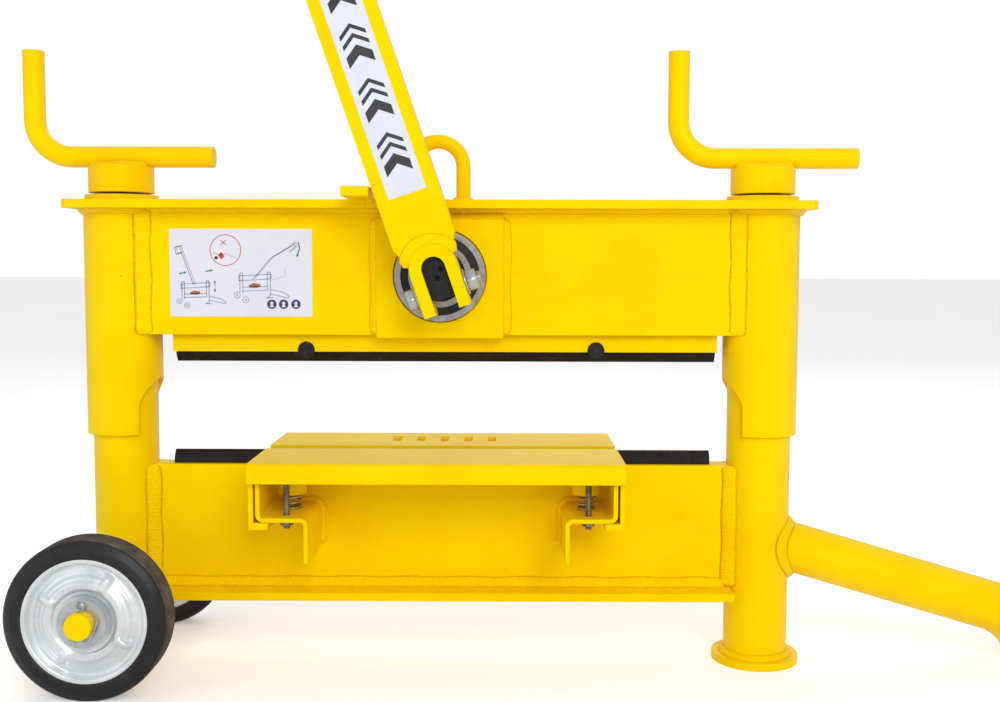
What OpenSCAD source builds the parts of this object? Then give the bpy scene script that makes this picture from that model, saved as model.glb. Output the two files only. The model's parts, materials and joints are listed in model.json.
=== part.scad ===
// Manual block splitter on two transport wheels.
// A lower frame carries a fixed blade and two sprung tables. Two hand-cranked
// screws raise and lower an upper frame, whose blade is pressed down by a
// long lever through an eccentric shaft. +X is to the right, -Y is the front.

/* [Lower frame] */
// Distance between the two post axes
post_spacing = 770; // [740:5:800]
// Outside diameter of a post
post_d = 76.1; // [70:0.1:80]
// Wall thickness of a post
post_wall = 5; // [3:0.5:8]
// Height of the post tops above the floor
post_top = 430; // [420:1:440]
// Thickness of the lower beam, front to back
beam_t = 32; // [24:1:40]
// Height of the lower beam's top above the floor
beam_top = 242; // [230:1:250]
// Underside of the lower beam's bottom flange
flange_low = 84; // [70:1:90]
// Thickness of both beams' flange plates
flange_t = 10; // [6:1:12]
// Width of the bottom flange, front to back
flange_w = 104; // [80:2:120]
// Diameter of the round foot under the right post
foot_d = 104; // [90:1:120]
// Thickness of the round foot
foot_t = 9; // [6:1:12]

/* [Support leg] */
// Outside diameter of the leg tube
leg_d = 60.3; // [50:0.1:65]
// Slope of the leg below level, in degrees
leg_slope = 16.4; // [12:0.1:18]
// Height of the leg's axis at the post's axis
leg_root_z = 152; // [145:1:160]
// Distance from the blade's middle to the knee
knee_x = 700; // [660:5:740]

/* [Blades] */
// Length of both splitting blades
blade_len = 650; // [600:5:660]
// Thickness of a blade
blade_t = 15; // [12:0.5:20]
// How far the lower blade's edge stands above its beam
blade_rise = 16; // [10:1:18]
// Open height between the two blade edges
blade_gap = 108; // [60:1:110]
// Height of the part of the upper blade that shows
upper_blade_rise = 13; // [10:1:16]

/* [Upper frame] */
// Outside diameter of a sleeve
sleeve_d = 88.9; // [86:0.1:92]
// Bottom of the sleeves
sleeve_low = 280; // [270:1:290]
// Bottom of the upper beam's webs
web_low = 400; // [396:1:406]
// Underside of the top flange
top_flange_z = 548; // [540:1:552]
// Length of the top flange
top_flange_len = 876; // [860:2:900]
// Width of the top flange, front to back
top_flange_w = 120; // [110:2:130]
// Width over the upper beam's two webs
box_w = 68; // [64:1:72]
// Height of the eccentric shaft's axis
shaft_z = 470; // [468:1:472]
// Distance from the shaft's axis to the eccentric's
throw = 10.8; // [8:0.1:11]

/* [Lever] */
// Lean of the lever to the left at rest, in degrees
lever_lean = 19; // [15:0.5:22]
// Width of the lever's channel
lever_w = 72; // [70:1:80]
// Depth of the lever's channel, front to back
lever_depth = 40; // [36:1:44]
// Distance from the shaft's axis to the top of the channel
lever_len = 640; // [560:5:700]
// How far the extension stands out of the channel
extension_out = 250; // [200:5:300]

/* [Tables] */
// Length of a table along the blade
table_len = 424; // [400:2:440]
// Front-to-back width of a table
table_w = 116; // [100:1:120]
// Height of the tables' tops
table_top = 261; // [258:0.5:262]
// Gap between the two tables, where the blade stands
table_gap = 24; // [20:1:30]

/* [Wheels] */
// Outside diameter of a tyre
wheel_d = 182; // [170:1:190]
// Width of a tyre
tyre_w = 42; // [36:1:48]
// Distance from the frame's middle to a tyre's outer face
wheel_face = 161; // [150:1:170]
// Diameter of the axle's ends
axle_d = 30; // [25:1:32]

/* [Spindles] */
// Diameter of the lifting screws
screw_d = 36; // [30:1:40]
// Diameter of the crank's bar
crank_bar_d = 25; // [20:1:28]
// Distance from the screw's axis to the crank's upright grip
grip_r = 102; // [95:1:115]
// Height of the grip's top above the floor
grip_top = 736; // [700:1:760]

/* [Hidden] */
$fn = 64;

paint = "gold";
black_steel = "dimgray";
zinc = "silver";
rubber = "black";

eps = 0.01;
slide_gap = 0.4;
run_gap = 0.05;
post_x = post_spacing / 2;
sleeve_bore = post_d + 2 * slide_gap;
sleeve_top = top_flange_z;
top_plate_z = top_flange_z + flange_t;

// leg and floor pad
leg_wall = 4;
pad_d = 80;
pad_t = 8;
foot_angle = 60;
knee_r = 80;
knee_turn = foot_angle - leg_slope;
knee_tangent = knee_r * tan(knee_turn / 2);
leg_straight = (knee_x - post_x) / cos(leg_slope) - knee_tangent;
knee_z = leg_root_z - (knee_x - post_x) * tan(leg_slope);
pad_x = knee_x + knee_z / tan(foot_angle);

// The origin is the middle of the machine's footprint, on the floor
left_reach = post_x + grip_r + crank_bar_d / 2;
right_reach = pad_x + pad_d / 2;
centre_x = (left_reach - right_reach) / 2;

// blades
lower_edge_z = beam_top + blade_rise;
upper_edge_z = lower_edge_z + blade_gap;
holder_low = upper_edge_z + upper_blade_rise;
holder_t = 42;
holder_h = 52;
blade_groove = 14;
blade_pin_x = [-161, 185];
blade_pin_d = 20;
blade_shift = 4.5;

// bearings and eccentric shaft
bearing_od = 107;
bore_relief = 3;
relief_depth = 6;
bearing_bore = 60;
bearing_w = 22;
ball_gap = 0.05;
ring_t = 7;
plate_w = 149;
plate_h = 139;
plate_t = 11;
plate_low = 397;
web_t = 9;
plate_face = box_w / 2 + plate_t;
ecc_r = 41;
ecc_angle = 19;
ecc_x = throw * sin(ecc_angle);
ecc_z = shaft_z + throw * cos(ecc_angle);
tongue_t = 26;
shaft_end_d = 54;
drill_d = 6;
drill_depth = 6;
drill_offset = [1.1, 0, -1.8];
yoke_t = 38;
yoke_w = 132;

// lever, front to back
fork_front = -122;
fork_depth = 40;
fork_arm = 13.7;
fork_gap = 0.5;
fork_crown = 9;
fork_out = tongue_t / 2 + fork_arm + fork_gap;
fork_back = fork_front + fork_depth;
fork_bolt_d = 16;
fork_bolt_y = -102;
fork_bolt_z = -16;
tongue_front = -114;
fork_low = -41;
channel_front = -118;
throat_low = 22;
throat_top = 42;
throat_half = 27;
channel_t = 4;
extension_w = 60;
extension_depth = 28;
extension_low = 400;
extension_y = channel_front + channel_t + 2;

// tables
table_t = 5;
table_lip = 22.5;
bend_r = 8;
bracket_in = 145;
bracket_out = 204;
bracket_t = 5;
bracket_r = 9;
bracket_low = 146;
bracket_top = 241;
shelf_z = 193;
stud_x = 172;
stud_y = 100;
spring_y = 60;
spring_d = 22;
spring_wire = 2.4;
spring_top = 251;
cup_d = 33;

// wheels
wheel_z = wheel_d / 2;
rim_r = 71;
hub_d = 44;
hub_w = 48;
hub_out = wheel_face + 3;
hub_in = hub_out - hub_w;
washer_in = hub_out + slide_gap;
pin_y = washer_in + 7;

// screws and cranks
crank_hub_d = 76;
crank_hub_h = 31.6;
thrust_washer_d = 85;
thrust_washer_t = 7;
thrust_ring_t = 2.4;
thrust_ring_d = 44;
nut_h = 36;
thrust_z = top_plate_z + thrust_washer_t;
hub_low = thrust_z + thrust_ring_t + slide_gap;
crank_z = hub_low + crank_hub_h + crank_bar_d / 2 - 1;

module placed() { translate([centre_x, 0, 0]) children(); }

// A round bar or tube along Z between two heights
module round_z(d, z0, z1, bore = 0) {
    translate([0, 0, z0]) difference() {
        cylinder(d = d, h = z1 - z0);
        if (bore > 0) translate([0, 0, -eps]) cylinder(d = bore, h = z1 - z0 + 2 * eps);
    }
}

// The same along Y, between two distances from the frame's middle plane
module round_y(d, y0, y1, bore = 0) {
    translate([0, y1, 0]) rotate([90, 0, 0]) round_z(d, 0, y1 - y0, bore);
}

// The same along X
module round_x(d, x0, x1, bore = 0) {
    translate([x0, 0, 0]) rotate([0, 90, 0]) round_z(d, 0, x1 - x0, bore);
}

// A block from its two opposite corners
module block(low, high) { translate(low) cube(high - low); }

module at_left_post() { translate([-post_x, 0, 0]) children(); }
module at_right_post() { translate([post_x, 0, 0]) children(); }
module both_posts() {
    at_left_post() children();
    at_right_post() children();
}
module front_and_back() {
    children();
    mirror([0, 1, 0]) children();
}
module left_and_right() {
    children();
    mirror([1, 0, 0]) children();
}

// ---------------------------------------------------------------- lower frame

module axle_at() { translate([-post_x, 0, wheel_z]) children(); }

module left_post() placed() color(paint) difference() {
    at_left_post() round_z(post_d, 52, post_top, post_d - 2 * post_wall);
    axle_at() round_y(axle_d + 10, -post_d, post_d);
}

module right_post() placed() color(paint) at_right_post()
    round_z(post_d, foot_t, post_top, post_d - 2 * post_wall);

module lower_beam() placed() color(paint) difference() {
    block([-post_x, -beam_t / 2, flange_low + flange_t], [post_x, beam_t / 2, beam_top]);
    block([-blade_len / 2, -blade_t / 2, beam_top - blade_groove],
          [blade_len / 2, blade_t / 2, beam_top + 1]);
    both_posts() round_z(post_d, 0, beam_top + 1);
    for (x = blade_pin_x) translate([x, 0, beam_top - blade_groove / 2])
        round_y(8, -beam_t, beam_t);
}

module lower_flange() placed() color(paint) difference() {
    block([-post_x + post_d / 2 - 3, -flange_w / 2, flange_low],
          [post_x - post_d / 2 + 3, flange_w / 2, flange_low + flange_t]);
    both_posts() round_z(post_d, 0, beam_top);
}

// Cross-section of a blade with a roof-shaped edge, pointing up
module blade_profile(h, chamfer) {
    polygon([[-blade_t / 2, 0], [blade_t / 2, 0], [blade_t / 2, h - chamfer],
             [1, h], [-1, h], [-blade_t / 2, h - chamfer]]);
}
module blade_bar(h, chamfer) {
    translate([-blade_len / 2, 0, 0]) rotate([90, 0, 90])
        linear_extrude(blade_len) blade_profile(h, chamfer);
}

module lower_blade() placed() color(black_steel) difference() {
    translate([0, 0, beam_top - blade_groove]) blade_bar(blade_groove + blade_rise, 8);
    for (x = blade_pin_x) translate([x, 0, beam_top - blade_groove / 2])
        round_y(8, -beam_t, beam_t);
}

module lower_blade_pins() placed() color(black_steel)
    for (x = blade_pin_x) translate([x, 0, beam_top - blade_groove / 2])
        round_y(8, -beam_t / 2 - 2, beam_t / 2 + 2);

module foot_plate() placed() color(paint) at_right_post() round_z(foot_d, 0, foot_t);

// A hollow tube along +X, from the origin
module leg_run(length) {
    rotate([0, 90, 0]) round_z(leg_d, 0, length, leg_d - 2 * leg_wall);
}

// The knee's turn, as seen from the end of the straight stretch
module leg_knee() {
    rotate([90, 0, 0]) rotate([0, 0, 90 - knee_turn]) rotate_extrude(angle = knee_turn)
        translate([knee_r, 0]) difference() {
            circle(d = leg_d);
            circle(d = leg_d - 2 * leg_wall);
        }
}

module leg_tube() placed() color(paint) difference() {
    translate([knee_x, 0, knee_z]) rotate([0, leg_slope, 0]) translate([-knee_tangent, 0, 0]) {
        translate([-leg_straight, 0, 0]) leg_run(leg_straight);
        translate([0, 0, -knee_r]) {
            leg_knee();
            rotate([0, knee_turn, 0]) translate([0, 0, knee_r]) leg_run(90);
        }
    }
    at_right_post() round_z(post_d, 0, post_top);
    block([post_x, -leg_d, -100], [post_x + 600, leg_d, pad_t]);
}

module leg_end_pad() placed() color(paint) translate([pad_x, 0, 0]) round_z(pad_d, 0, pad_t);

module screw_nuts() placed() color(zinc) both_posts()
    round_z(post_d - 2 * post_wall, post_top - nut_h, post_top, screw_d + 2 * run_gap);

// Thicker in the middle, so each wheel runs against a shoulder
module wheel_axle() placed() color(paint) axle_at() difference() {
    union() {
        round_y(axle_d, -pin_y - 8, pin_y + 8);
        round_y(axle_d + 10, -hub_in + slide_gap, hub_in - slide_gap);
    }
    front_and_back() translate([0, -pin_y, 0]) round_z(5, -axle_d, axle_d);
}

module wheel_washers() placed() color(zinc) axle_at() front_and_back()
    round_y(54, -washer_in - 3, -washer_in, axle_d);

// Each pin has a ring above the axle and two legs bent sideways below it
module split_pins() placed() color(zinc) axle_at() front_and_back()
    translate([0, -pin_y, 0]) {
        round_z(4.6, -axle_d / 2 - 4, axle_d / 2 + 3);
        translate([0, 0, axle_d / 2 + 7]) rotate([90, 0, 0])
            rotate_extrude() translate([5, 0]) circle(d = 3.2, $fn = 24);
        translate([0, 0, -axle_d / 2 - 4]) left_and_right() rotate([0, 50, 0]) round_x(3.2, 0, 10);
    }

// ---------------------------------------------------------------- tables

// Z-section welded to the beam: an upright outside, a shelf and a hanging leg
module bracket() {
    y0 = -table_gap / 2 - table_w + 10;
    y1 = -beam_t / 2;
    low_bend = [bracket_r - bracket_out, 0, shelf_z + bracket_r];
    high_bend = [-bracket_in - bracket_r, 0, shelf_z + bracket_t - bracket_r];
    block([low_bend[0], y0, shelf_z], [high_bend[0], y1, shelf_z + bracket_t]);
    block([-bracket_out, y0, low_bend[2]], [bracket_t - bracket_out, y1, bracket_top]);
    block([-bracket_in - bracket_t, y0, bracket_low], [-bracket_in, y1, high_bend[2]]);
    intersection() {
        translate(low_bend) round_y(2 * bracket_r, y0, y1, 2 * (bracket_r - bracket_t));
        block([-bracket_out, y0, shelf_z], [low_bend[0], y1, low_bend[2]]);
    }
    intersection() {
        translate(high_bend) round_y(2 * bracket_r, y0, y1, 2 * (bracket_r - bracket_t));
        block([high_bend[0], y0, high_bend[2]], [-bracket_in, y1, shelf_z + bracket_t]);
    }
}

module table_brackets() placed() color(paint) front_and_back() left_and_right() difference() {
    bracket();
    translate([-stud_x, -stud_y, 0]) round_z(8, 150, 250);
}

module table_studs() placed() color(zinc) front_and_back() left_and_right()
    translate([-stud_x, -stud_y, 0]) {
        round_z(8, shelf_z - 10, 243);
        translate([0, 0, shelf_z - 6.5]) cylinder(d = 15, h = 6.5, $fn = 6);
    }

module table_springs() {
    left_and_right() translate([-stud_x, -spring_y, 0])
        round_z(spring_d, shelf_z + bracket_t, spring_top, spring_d - 2 * spring_wire);
}
module front_table_springs() placed() color(zinc) table_springs();
module back_table_springs() placed() color(zinc) mirror([0, 1, 0]) table_springs();

// Plate with a bent-down front lip, a hook at each end and two spring cups
module table_body() {
    y0 = -table_gap / 2 - table_w;
    y1 = -table_gap / 2;
    hook_z = shelf_z - slide_gap;
    translate([-table_len / 2, 0, 0]) rotate([90, 0, 90]) linear_extrude(table_len) {
        block_2d([y0 + bend_r, table_top - table_t], [y1, table_top]);
        block_2d([y0, table_top - table_lip], [y0 + table_t, table_top - bend_r]);
        translate([y0 + bend_r, table_top - bend_r]) intersection() {
            difference() {
                circle(r = bend_r);
                circle(r = bend_r - table_t);
            }
            block_2d([-bend_r, 0], [0, bend_r]);
        }
    }
    left_and_right() {
        block([-table_len / 2, y0 + 10, hook_z - 8],
              [-table_len / 2 + 5.5, y0 + 50, table_top - table_t]);
        block([-table_len / 2, y0 + 10, hook_z - 8], [-table_len / 2 + 22, y0 + 50, hook_z]);
        translate([-stud_x, -spring_y, 0]) difference() {
            round_z(cup_d, 216, table_top - table_t);
            round_z(spring_d + 2, 215, spring_top + 1);
        }
    }
}
module block_2d(low, high) { translate(low) square(high - low); }

module front_table() placed() color(paint) table_body();

// Plain drain slots through the back table's top
module back_table() placed() color(paint) difference() {
    slot_w = 10;
    slot_y0 = 52;
    slot_y1 = 88;
    slot_step = 30;
    mirror([0, 1, 0]) table_body();
    for (i = [-2 : 2])
        block([i * slot_step - slot_w / 2, slot_y0, table_top - table_t - 1],
              [i * slot_step + slot_w / 2, slot_y1, table_top + 1]);
}

// ---------------------------------------------------------------- upper frame

slot_r = 35;
slot_top = 346;

// A sleeve whose inner side has an arched slot that clears the lower beam
module sleeve() {
    difference() {
        round_z(sleeve_d, sleeve_low, sleeve_top, sleeve_bore);
        translate([0, 0, slot_top - slot_r]) round_x(2 * slot_r, 0, sleeve_d);
        block([0, -slot_r, sleeve_low - 1], [sleeve_d, slot_r, slot_top - slot_r]);
    }
}
module left_sleeve() placed() color(paint) at_left_post() sleeve();
module right_sleeve() placed() color(paint) at_right_post() mirror([1, 0, 0]) sleeve();

flange_cut = 6;
flange_x = top_flange_len / 2;
flange_y = top_flange_w / 2;
flange_plan = [
    [-flange_x, flange_cut - flange_y], [flange_cut - flange_x, -flange_y],
    [flange_x - flange_cut, -flange_y], [flange_x, flange_cut - flange_y],
    [flange_x, flange_y - flange_cut], [flange_x - flange_cut, flange_y],
    [flange_cut - flange_x, flange_y], [-flange_x, flange_y - flange_cut]
];
module top_flange() placed() color(paint) difference() {
    translate([0, 0, top_flange_z]) linear_extrude(top_plate_z - top_flange_z) polygon(flange_plan);
    both_posts() round_z(screw_d + 2, top_flange_z - 1, top_plate_z + 1);
}

module on_shaft() { translate([0, 0, shaft_z]) children(); }

module upper_webs() placed() color(paint) front_and_back() difference() {
    block([-post_x, -box_w / 2, web_low], [post_x, -box_w / 2 + web_t, top_flange_z]);
    both_posts() round_z(sleeve_d, web_low - 1, top_flange_z + 1);
    on_shaft() round_y(bearing_od, -box_w, 0);
}

module bearing_plates() placed() color(paint) front_and_back() difference() {
    block([-plate_w / 2, -plate_face, plate_low],
          [plate_w / 2, -box_w / 2, plate_low + plate_h]);
    on_shaft() round_y(bearing_od, -plate_face - 1, 0);
    on_shaft() round_y(bearing_od + bore_relief, -plate_face - 1, -plate_face + relief_depth);
}

module bearing_outer_rings() placed() color(zinc) front_and_back() on_shaft()
    round_y(bearing_od, -plate_face + 1, -plate_face + 1 + bearing_w, bearing_od - 2 * ring_t);

module bearing_seals() placed() color(rubber) front_and_back() on_shaft()
    round_y(bearing_od - 2 * ring_t, -plate_face + 2, -plate_face + 4,
            bearing_bore + 2 * ring_t + 2 * slide_gap);

module lifting_eye() placed() color(paint) translate([-4, 0, 0]) {
    eye_rod = 17;
    eye_r = 30;
    bend_z = 600;
    left_and_right() translate([-eye_r, 0, 0]) round_z(eye_rod, top_plate_z, bend_z);
    translate([0, 0, bend_z]) rotate([90, 0, 0]) rotate_extrude(angle = 180)
        translate([eye_r, 0]) circle(d = eye_rod, $fn = 48);
}

stop_x = -74.4;
module lever_stop() placed() color(paint)
    block([stop_x - 30, -126, top_plate_z], [stop_x, -top_flange_w / 2 + 30, top_plate_z + 11]);

module instruction_label() placed() color("white")
    block([-319, -box_w / 2 - 0.5, 421.5], [-151, -box_w / 2, 524.5]);

module thrust_washers() placed() color(paint) both_posts()
    round_z(thrust_washer_d, top_plate_z, thrust_z, screw_d + 2);
module thrust_rings() placed() color(rubber) both_posts()
    round_z(thrust_ring_d, thrust_z, thrust_z + thrust_ring_t, screw_d + 2);

// ---------------------------------------------------------------- eccentric and lever

// Journals, an offset middle and a two-sided tongue that the fork straddles
module eccentric_shaft() placed() color(black_steel) difference() {
    union() {
        on_shaft() round_y(bearing_bore, -plate_face - 1, plate_face + 1);
        on_shaft() round_y(shaft_end_d, fork_back + slide_gap, 0);
        intersection() {
            on_shaft() round_y(shaft_end_d, tongue_front, 0);
            in_lever() {
                block([-tongue_t / 2, tongue_front, -shaft_end_d], [tongue_t / 2, 0, fork_crown]);
                translate([0, 0, fork_crown]) round_y(tongue_t, tongue_front, 0);
            }
        }
        translate([ecc_x, 0, ecc_z]) round_y(2 * ecc_r, -yoke_t / 2 - 2, yoke_t / 2 + 2);
    }
    in_lever() translate([0, fork_bolt_y, fork_bolt_z]) round_x(fork_bolt_d, -shaft_end_d, shaft_end_d);
    on_shaft() translate(drill_offset) round_y(drill_d, tongue_front - 1, tongue_front + drill_depth);
    translate([ecc_x, 0, ecc_z] + drill_offset)
        round_y(drill_d, tongue_front - 1, tongue_front + drill_depth);
}

module in_lever() { translate([0, 0, shaft_z]) rotate([0, -lever_lean, 0]) children(); }

module bearing_inner_rings() placed() color(zinc) front_and_back() on_shaft()
    round_y(bearing_bore + 2 * ring_t, -plate_face + 1, -plate_face + 1 + bearing_w, bearing_bore);

module bearing_balls() placed() color(zinc) {
    ball_d = (bearing_od - bearing_bore) / 2 - 2 * ring_t - 2 * ball_gap;
    pitch_r = (bearing_od + bearing_bore) / 4;
    balls = 12;
    front_and_back() on_shaft() translate([0, -plate_face + 1 + bearing_w / 2, 0])
        for (i = [0 : balls - 1]) rotate([0, i * 360 / balls, 0])
            translate([pitch_r, 0, 0]) sphere(d = ball_d, $fn = 32);
}

// U-shaped fork: two arms joined by a half-round crown
module fork_outline() {
    r_in = tongue_t / 2 + fork_gap;
    difference() {
        union() {
            block_2d([-fork_out, fork_low], [fork_out, fork_crown]);
            translate([0, fork_crown]) circle(r = fork_out);
        }
        block_2d([-r_in, fork_low - 1], [r_in, fork_crown]);
        translate([0, fork_crown]) circle(r = r_in);
    }
}

module lever_fork() placed() color(paint) in_lever() difference() {
    translate([0, fork_back, 0]) rotate([90, 0, 0]) linear_extrude(fork_depth) fork_outline();
    translate([0, fork_bolt_y, fork_bolt_z]) round_x(fork_bolt_d, -2 * fork_out, 2 * fork_out);
}

// The channel narrows towards the fork
channel_plan = [
    [-throat_half, throat_low], [throat_half, throat_low], [lever_w / 2, throat_top],
    [lever_w / 2, lever_len], [-lever_w / 2, lever_len], [-lever_w / 2, throat_top]
];
module lever_channel() placed() color(paint) in_lever() difference() {
    translate([0, channel_front + lever_depth, 0]) rotate([90, 0, 0])
        linear_extrude(lever_depth) polygon(channel_plan);
    block([-lever_w / 2 + channel_t, channel_front + channel_t, throat_low - 1],
          [lever_w / 2 - channel_t, channel_front + lever_depth + 1, lever_len + 1]);
    translate([0, 0, fork_crown]) round_y(2 * fork_out, channel_front - 1, 0);
}

fork_hex_d = 27.7;
module fork_bolt() placed() color(zinc) in_lever() translate([0, fork_bolt_y, fork_bolt_z]) {
    head_h = 10;
    tail = 17;
    round_x(fork_bolt_d, -fork_out - slide_gap, fork_out + tail);
    translate([-fork_out - slide_gap - head_h, 0, 0]) rotate([0, 90, 0])
        cylinder(d = fork_hex_d, h = head_h, $fn = 6);
}
module fork_nut() placed() color(zinc) in_lever()
    translate([fork_out + slide_gap, fork_bolt_y, fork_bolt_z]) rotate([0, 90, 0]) difference() {
        nut_t = 13;
        cylinder(d = fork_hex_d, h = nut_t, $fn = 6);
        translate([0, 0, -1]) cylinder(d = fork_bolt_d, h = nut_t + 2);
    }

module lever_label() placed() color("white") in_lever()
    block([-22, channel_front - 0.5, 96], [22, channel_front, 560]);

collar_z0 = lever_len - 60;
module extension_collar() placed() color(paint) in_lever() difference() {
    block([-lever_w / 2, channel_front + lever_depth, collar_z0],
          [lever_w / 2, channel_front + lever_depth + 6, lever_len]);
    translate([0, 0, collar_z0 + 30]) round_y(10, channel_front, 0);
}

module clamp_screw() placed() color(zinc) in_lever() translate([0, 0, collar_z0 + 30]) {
    screw_y0 = extension_y + extension_depth + slide_gap;
    round_y(10, screw_y0, screw_y0 + 36);
    translate([0, screw_y0 + 32, 0]) round_x(8, -26, 26);
}

module lever_extension() placed() color(paint) in_lever() difference() {
    block([-extension_w / 2, extension_y, extension_low],
          [extension_w / 2, extension_y + extension_depth, lever_len + extension_out]);
    block([-extension_w / 2 + 3, extension_y + 3, extension_low - 1],
          [extension_w / 2 - 3, extension_y + extension_depth - 3, lever_len + extension_out - 3]);
}

handle_bar = 18;
handle_r = 22;
handle_half = 55;
handle_h = 120;
handle_y = extension_y + extension_depth / 2;
// D-shaped loop: a foot bar, two uprights and a cross bar with round corners
module d_handle() placed() color(paint) in_lever()
    translate([0, handle_y, lever_len + extension_out]) {
        corner = handle_half - handle_r;
        foot_z = handle_bar / 2;
        grip_z = handle_h - handle_r;
        translate([0, 0, foot_z]) round_x(handle_bar, -corner, corner);
        translate([0, 0, handle_h]) round_x(handle_bar, -corner, corner);
        left_and_right() {
            translate([handle_half, 0, 0]) round_z(handle_bar, foot_z + handle_r, grip_z);
            translate([corner, 0, foot_z + handle_r]) rotate([90, 0, 0]) rotate([0, 0, -90])
                rotate_extrude(angle = 90) translate([handle_r, 0]) circle(d = handle_bar, $fn = 48);
            translate([corner, 0, grip_z]) rotate([90, 0, 0])
                rotate_extrude(angle = 90) translate([handle_r, 0]) circle(d = handle_bar, $fn = 48);
        }
    }

module handle_grip() placed() color(rubber) in_lever()
    translate([0, handle_y, lever_len + extension_out + handle_h])
        round_x(handle_bar + 8, -handle_half + handle_r, handle_half - handle_r, handle_bar);

// ---------------------------------------------------------------- blade holder

module blade_holder() placed() color(paint) difference() {
    block([blade_shift - blade_len / 2, -holder_t / 2, holder_low],
          [blade_shift + blade_len / 2, holder_t / 2, holder_low + holder_h]);
    block([-blade_len, -blade_t / 2, holder_low - 1], [blade_len, blade_t / 2, holder_low + 15]);
    for (x = blade_pin_x) translate([x, 0, holder_low + 2]) round_y(blade_pin_d, -50, 50);
}

// Frame round the eccentric: the slot is long in X and nearly fits in Z
module blade_yoke() placed() color(black_steel) {
    lift_gap = 2;
    side_gap = 9;
    low = ecc_z - ecc_r - 0.4;
    difference() {
        block([-yoke_w / 2, -yoke_t / 2, holder_low + holder_h],
              [yoke_w / 2, yoke_t / 2, top_flange_z - 7]);
        block([ecc_x - ecc_r - 4, -yoke_t, low],
              [ecc_x + ecc_r + side_gap, yoke_t, ecc_z + ecc_r + lift_gap]);
    }
}

module upper_blade() placed() color(black_steel) difference() {
    translate([blade_shift, 0, holder_low + 15]) mirror([0, 0, 1]) blade_bar(15 + upper_blade_rise, 8);
    for (x = blade_pin_x) translate([x, 0, holder_low + 2]) round_y(blade_pin_d, -50, 50);
}

module upper_blade_pins() placed() color(black_steel)
    for (x = blade_pin_x) translate([x, 0, holder_low + 2])
        round_y(blade_pin_d, -holder_t / 2 - 1, holder_t / 2 + 1);

// ---------------------------------------------------------------- screws and cranks

module spindle() { round_z(screw_d, 290, hub_low + 4); }

// Hub with an L-shaped bar across it; the grip stands up on the left
module crank() {
    bend = 44;
    tail = 112;
    difference() {
        round_z(crank_hub_d, hub_low, hub_low + crank_hub_h);
        round_z(screw_d, hub_low - 1, hub_low + 4);
    }
    translate([0, 0, crank_z]) {
        round_x(crank_bar_d, -grip_r + bend, tail);
        translate([-grip_r, 0, bend]) round_z(crank_bar_d, 0, grip_top - crank_z - bend);
        translate([-grip_r + bend, 0, bend]) rotate([90, 0, 0]) rotate([0, 0, 180])
            rotate_extrude(angle = 90) translate([bend, 0]) circle(d = crank_bar_d, $fn = 48);
    }
}

module left_spindle() placed() color(zinc) at_left_post() spindle();
module right_spindle() placed() color(zinc) at_right_post() spindle();
module left_crank() placed() color(paint) at_left_post() crank();
module right_crank() placed() color(paint) at_right_post() crank();

// ---------------------------------------------------------------- wheels

module wheel_at() { axle_at() rotate([90, 0, 0]) translate([0, 0, wheel_face - tyre_w]) children(); }

// Solid rubber tyre with rounded shoulders, in its own frame from 0 to tyre_w
module tyre() {
    shoulder = 6;
    rotate_extrude($fn = 128) union() {
        block_2d([rim_r, 0], [wheel_z - shoulder, tyre_w]);
        block_2d([rim_r, shoulder], [wheel_z, tyre_w - shoulder]);
        translate([wheel_z - shoulder, shoulder]) circle(r = shoulder, $fn = 32);
        translate([wheel_z - shoulder, tyre_w - shoulder]) circle(r = shoulder, $fn = 32);
    }
}

// Pressed rim: an outer band and two dished discs
module rim() {
    band = 2.5;
    disc_t = 2;
    dish = 8;
    rotate_extrude($fn = 96) {
        block_2d([rim_r - band, 2], [rim_r, tyre_w - 2]);
        for (y = [dish, tyre_w - dish - disc_t]) block_2d([hub_d / 2, y], [rim_r - band, y + disc_t]);
    }
}

module hub() round_z(hub_d, tyre_w + 3 - hub_w, tyre_w + 3, axle_d + 2 * run_gap);

module front_tyre() placed() color(rubber) wheel_at() tyre();
module front_rim() placed() color(zinc) wheel_at() rim();
module front_hub() placed() color(zinc) wheel_at() hub();
module back_tyre() placed() color(rubber) mirror([0, 1, 0]) wheel_at() tyre();
module back_rim() placed() color(zinc) mirror([0, 1, 0]) wheel_at() rim();
module back_hub() placed() color(zinc) mirror([0, 1, 0]) wheel_at() hub();

left_post();
right_post();
lower_beam();
lower_flange();
lower_blade();
lower_blade_pins();
foot_plate();
leg_tube();
leg_end_pad();
screw_nuts();
wheel_axle();
wheel_washers();
split_pins();
table_brackets();
table_studs();
front_table_springs();
back_table_springs();
left_sleeve();
right_sleeve();
top_flange();
upper_webs();
bearing_plates();
bearing_outer_rings();
bearing_seals();
lifting_eye();
lever_stop();
instruction_label();
thrust_washers();
thrust_rings();
eccentric_shaft();
bearing_inner_rings();
bearing_balls();
lever_fork();
lever_channel();
fork_bolt();
fork_nut();
lever_label();
extension_collar();
clamp_screw();
lever_extension();
d_handle();
handle_grip();
blade_holder();
blade_yoke();
upper_blade();
upper_blade_pins();
left_spindle();
left_crank();
right_spindle();
right_crank();
front_table();
back_table();
front_tyre();
front_rim();
front_hub();
back_tyre();
back_rim();
back_hub();
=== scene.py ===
# Looks of the manual block splitter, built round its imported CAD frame.
# Metres, Z up, the operator's side is -Y. Places come from the frame's own nodes.
import json
import math
import random

import bpy
from mathutils import Matrix, Vector


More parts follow.
